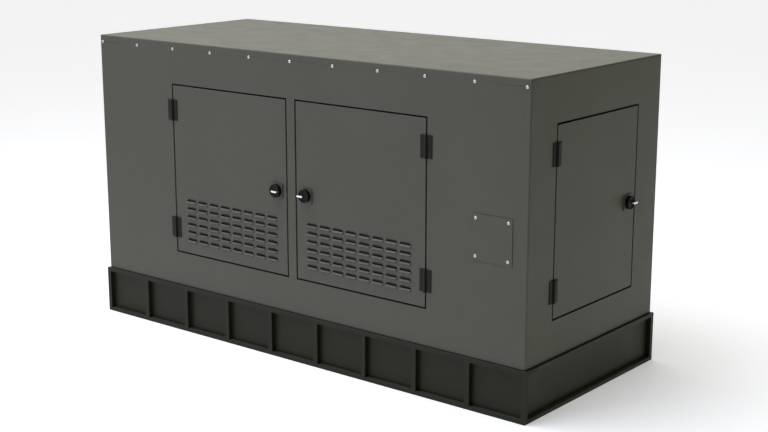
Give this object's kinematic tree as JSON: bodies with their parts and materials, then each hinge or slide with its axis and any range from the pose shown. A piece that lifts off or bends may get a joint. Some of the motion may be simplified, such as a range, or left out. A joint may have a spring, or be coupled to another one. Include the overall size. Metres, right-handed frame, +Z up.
{
  "type": "home standby generator",
  "caption": "Enclosed standby generator set: ribbed skid base, grey sheet housing with hinged louvred doors and quarter-turn latches, engine, belt-driven fan, generator, battery and controls.",
  "frame": {"origin": "centre of the skid base's underside", "axes": "+X toward the end wall with the control door, -Y toward the wall with the two louvred doors, +Z up"},
  "size_m": [2.139, 0.899, 1.173],
  "materials": {
    "wall_paint": "satin textured powder coat, dark grey",
    "base_paint": "satin enamel, near-black olive grey",
    "hinge_black": "black e-coat, matte",
    "latch_black": "moulded glass-filled nylon, black",
    "bright_metal": "bright plated",
    "zinc": "zinc plated",
    "rubber": "matte black EPDM",
    "engine_paint": "semi-gloss grey-blue enamel on casting",
    "cast_alloy": "as-cast aluminium",
    "black_plastic": "textured black moulding",
    "black_steel": "black satin stamped steel",
    "hot_iron": "heat-browned cast iron and pipe",
    "muffler_skin": "aluminised steel, heat tinted",
    "machined_steel": "machined, light oil film",
    "radiator_core": "black-coated aluminium fins",
    "generator_paint": "semi-gloss green-grey enamel",
    "rotor_copper": "varnished copper winding on laminations",
    "control_grey": "light grey powder coat",
    "stop_red": "glossy red moulding",
    "lever_white": "off-white moulding"
  },
  "bodies": {
    "root": {"base_side_rails": "base_paint", "base_end_rails": "base_paint", "base_stiffeners": "base_paint", "base_cross_members": "base_paint", "base_floor": "base_paint", "weather_seals": "rubber", "front_panel": "wall_paint", "rear_panel": "wall_paint", "left_end_panel": "wall_paint", "right_end_panel": "wall_paint", "roof_panel": "wall_paint", "door_jambs": "wall_paint", "access_covers": "wall_paint", "cover_screws": "zinc", "discharge_grille": "hinge_black", "frame_hinge_leaves": "hinge_black", "hinge_pins": "hinge_black", "engine_block": "engine_paint", "cylinder_head": "cast_alloy", "valve_cover": "black_plastic", "oil_pan": "black_steel", "intake_manifold": "cast_alloy", "air_cleaner": "black_plastic", "exhaust_manifold": "hot_iron", "muffler": "muffler_skin", "drive_belt": "rubber", "radiator": "radiator_core", "fan_shroud": "black_plastic", "coolant_hoses": "rubber", "generator_stator": "generator_paint", "isolation_mounts": "rubber", "battery": "black_plastic", "control_box": "control_grey", "control_stand": "base_paint", "main_breaker": "black_plastic"},
    "crank": {"crankshaft": "machined_steel", "crank_pulley": "black_steel", "generator_rotor": "rotor_copper"},
    "fan": {"cooling_fan": "black_plastic"},
    "stop_button": {"stop_button": "stop_red"},
    "mode_switch": {"mode_switch": "black_plastic"},
    "breaker_lever": {"breaker_lever": "lever_white"},
    "left_door": {"left_door_panel": "wall_paint", "left_door_hinge_leaves": "hinge_black", "left_latch_plate": "wall_paint"},
    "left_latch": {"left_latch_knob": "latch_black", "left_latch_bar": "bright_metal", "left_latch_cam": "zinc"},
    "right_door": {"right_door_panel": "wall_paint", "right_door_hinge_leaves": "hinge_black", "right_latch_plate": "wall_paint"},
    "right_latch": {"right_latch_knob": "latch_black", "right_latch_bar": "bright_metal", "right_latch_cam": "zinc"},
    "end_door": {"end_door_panel": "wall_paint", "end_door_hinge_leaves": "hinge_black", "end_latch_plate": "wall_paint"},
    "end_latch": {"end_latch_knob": "latch_black", "end_latch_bar": "bright_metal", "end_latch_cam": "zinc"}
  },
  "joints": [
    {"name": "left_door_swing", "type": "hinge", "parent": "root", "child": "left_door", "pos_m": [-0.62925, -0.435, 0.667], "axis": [0, 0, -1], "range_deg": [0, 120]},
    {"name": "right_door_swing", "type": "hinge", "parent": "root", "child": "right_door", "pos_m": [0.62925, -0.435, 0.667], "axis": [0, 0, 1], "range_deg": [0, 120]},
    {"name": "end_door_swing", "type": "hinge", "parent": "root", "child": "end_door", "pos_m": [1.055, -0.26775, 0.667], "axis": [0, 0, -1], "range_deg": [0, 120]},
    {"name": "left_latch_turn", "type": "hinge", "parent": "left_door", "child": "left_latch", "pos_m": [-0.073, -0.43, 0.6555], "axis": [0, -1, 0], "range_deg": [0, 90]},
    {"name": "right_latch_turn", "type": "hinge", "parent": "right_door", "child": "right_latch", "pos_m": [0.073, -0.43, 0.6555], "axis": [0, 1, 0], "range_deg": [0, 90]},
    {"name": "end_latch_turn", "type": "hinge", "parent": "end_door", "child": "end_latch", "pos_m": [1.05, 0.2205, 0.6555], "axis": [1, 0, 0], "range_deg": [0, 90]},
    {"name": "crank_turn", "type": "hinge", "parent": "root", "child": "crank", "pos_m": [0, 0, 0.47], "axis": [1, 0, 0], "continuous": true},
    {"name": "fan_turn", "type": "hinge", "parent": "root", "child": "fan", "pos_m": [-0.7, 0, 0.615], "axis": [1, 0, 0], "continuous": true},
    {"name": "stop_press", "type": "slide", "parent": "root", "child": "stop_button", "axis": [-1, 0, 0], "range_m": [0, 0.006], "stiffness_N_per_m": 800},
    {"name": "mode_turn", "type": "hinge", "parent": "root", "child": "mode_switch", "pos_m": [0.9, -0.12, 0.8], "axis": [1, 0, 0], "range_deg": [-45, 45]},
    {"name": "lever_toggle", "type": "hinge", "parent": "root", "child": "breaker_lever", "pos_m": [0.774, 0, 0.505], "axis": [0, 1, 0], "range_deg": [0, 50]}
  ],
  "couplings": [
    {"joint": "fan_turn", "follows": "crank_turn", "ratio": 1.36}
  ]
}
